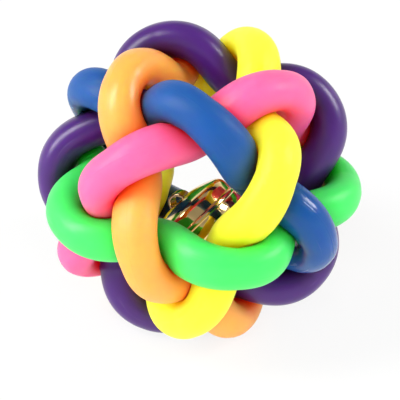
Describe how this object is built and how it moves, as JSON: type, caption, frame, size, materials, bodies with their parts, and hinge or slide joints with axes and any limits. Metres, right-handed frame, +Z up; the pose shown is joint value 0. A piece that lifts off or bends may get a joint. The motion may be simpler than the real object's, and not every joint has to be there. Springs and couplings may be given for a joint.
{
  "type": "bell ball toy",
  "caption": "Hollow pet ball woven from interlocked wavy rubber rings, with a loose jingle bell that rattles inside.",
  "frame": {"origin": "middle of the ball, where the axes of all its rings cross", "axes": "+Z up along the axis of the level green ring, the ball standing on five of its bumps; -Y towards the window that the purple ring goes round, which faces the viewer; +X to the viewer's right"},
  "size_m": [0.0702, 0.068, 0.062],
  "materials": {
    "green_rubber": "smooth, soft gloss",
    "purple_rubber": "smooth, soft gloss",
    "orange_rubber": "smooth, soft gloss",
    "blue_rubber": "smooth, soft gloss",
    "pink_rubber": "smooth, soft gloss",
    "yellow_rubber": "smooth, soft gloss",
    "bell_brass": "polished",
    "pellet_steel": "bright"
  },
  "bodies": {
    "cage": {"green_ring": "green_rubber", "purple_ring": "purple_rubber", "orange_ring": "orange_rubber", "blue_ring": "blue_rubber", "pink_ring": "pink_rubber", "yellow_ring": "yellow_rubber"},
    "bell": {"bell_crown": "bell_brass", "bell_bowl": "bell_brass", "bell_loop": "bell_brass"},
    "pellet": {"bell_pellet": "pellet_steel"}
  },
  "joints": [
    {"name": "bell_rattle", "type": "slide", "parent": "cage", "child": "bell", "axis": [0, 0, 1], "range_m": [0, 0.0135]},
    {"name": "pellet_rattle", "type": "slide", "parent": "bell", "child": "pellet", "axis": [0, 0, 1], "range_m": [0, 0.006]}
  ]
}
